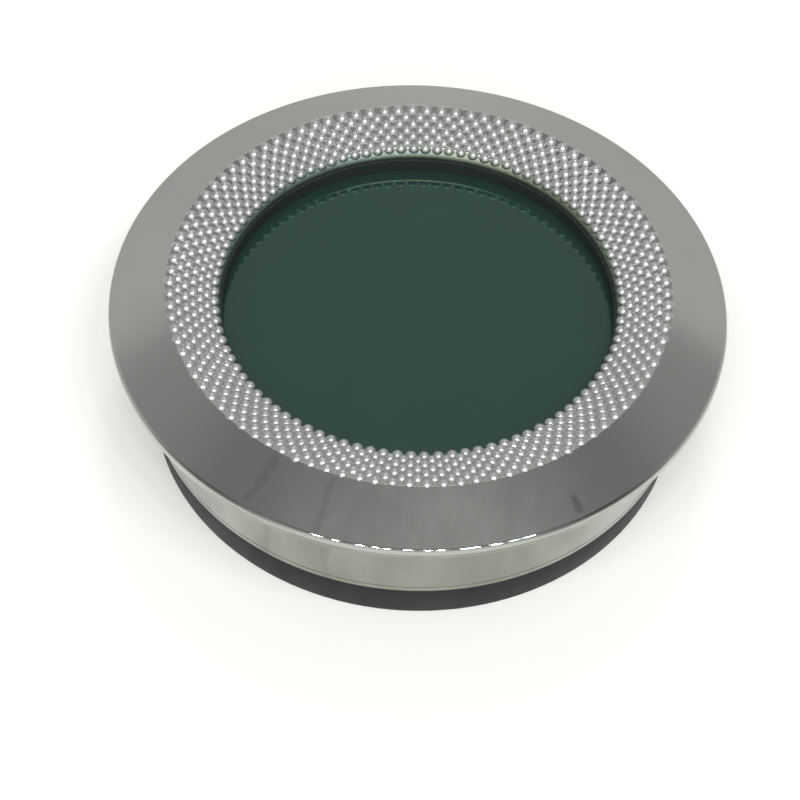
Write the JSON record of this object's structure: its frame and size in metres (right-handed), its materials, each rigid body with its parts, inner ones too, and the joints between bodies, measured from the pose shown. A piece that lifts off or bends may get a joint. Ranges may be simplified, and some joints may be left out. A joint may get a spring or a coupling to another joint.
{
  "type": "digital hygrometer",
  "caption": "Round digital hygrometer for a humidor lid: plated shell with a wide sloping flange and a beaded band round a dark green display window, black rear housing.",
  "frame": {"origin": "on the bezel's axis at the back face, the lowest face of the rear housing", "axes": "+Z along the bezel's axis out of the display; +Y towards the battery door's side, so the display's contact ledge and the buttons are towards -Y"},
  "size_m": [0.05, 0.05, 0.0146],
  "materials": {
    "plated_shell": "satin electroplating over zinc",
    "black_rubber": "matte",
    "window": "polished, clear",
    "display_film": "dark green, smooth",
    "display_glass": "polished",
    "reflector_film": "satin",
    "black_plastic": "fine moulded texture",
    "pink_rubber": "striped",
    "board": "solder mask",
    "black_resin": "cast",
    "ceramic_tan": "fired",
    "ceramic_black": "fired",
    "ceramic_white": "fired",
    "white_plastic": "moulded",
    "switch_plastic": "moulded",
    "steel": "nickel plated",
    "cell_paste": "pressed powder",
    "filter_felt": "felted",
    "red_rubber": "matte",
    "door_plastic": "fine moulded texture",
    "button_plastic": "moulded"
  },
  "bodies": {
    "shell": {"bezel": "plated_shell", "window_gasket": "black_rubber", "window_lens": "window", "display_spacer": "black_rubber", "front_polariser": "display_film", "front_glass": "display_glass", "rear_glass": "display_glass", "rear_polariser": "reflector_film", "display_frame": "black_plastic", "contact_strip": "pink_rubber", "circuit_board": "board", "chip_coating": "black_resin", "capacitors": "ceramic_tan", "resistors": "ceramic_black", "clock_crystal": "steel", "humidity_sensor": "ceramic_white", "sensor_cover": "white_plastic", "thermistor": "black_resin", "unit_switch": "switch_plastic", "calibrate_switch": "switch_plastic", "positive_contact": "steel", "negative_contact": "steel", "cell_can": "steel", "cell_cap": "steel", "cell_grommet": "black_plastic", "cell_core": "cell_paste", "rear_housing": "black_plastic", "vent_membrane": "filter_felt", "housing_screws": "steel", "board_screws": "steel"},
    "door_ring": {"door_seal": "red_rubber"},
    "door": {"battery_door": "door_plastic"},
    "unit_key": {"unit_button": "button_plastic", "unit_plunger": "white_plastic"},
    "calibrate_key": {"calibrate_button": "button_plastic", "calibrate_plunger": "white_plastic"}
  },
  "joints": [
    {"name": "door_travel", "type": "slide", "parent": "shell", "child": "door_ring", "axis": [0, 0, -1], "range_m": [0, 0.0015]},
    {"name": "door_turn", "type": "hinge", "parent": "door_ring", "child": "door", "pos_m": [0, 0.0046, 0.001], "axis": [0, 0, -1], "range_deg": [0, 180]},
    {"name": "unit_press", "type": "slide", "parent": "shell", "child": "unit_key", "axis": [0, 0, 1], "range_m": [0, 0.0003], "stiffness_N_per_m": 1500},
    {"name": "calibrate_press", "type": "slide", "parent": "shell", "child": "calibrate_key", "axis": [0, 0, 1], "range_m": [0, 0.0003], "stiffness_N_per_m": 1500}
  ],
  "couplings": [
    {"joint": "door_travel", "follows": "door_turn", "m_per_rad": 0.00047746}
  ]
}
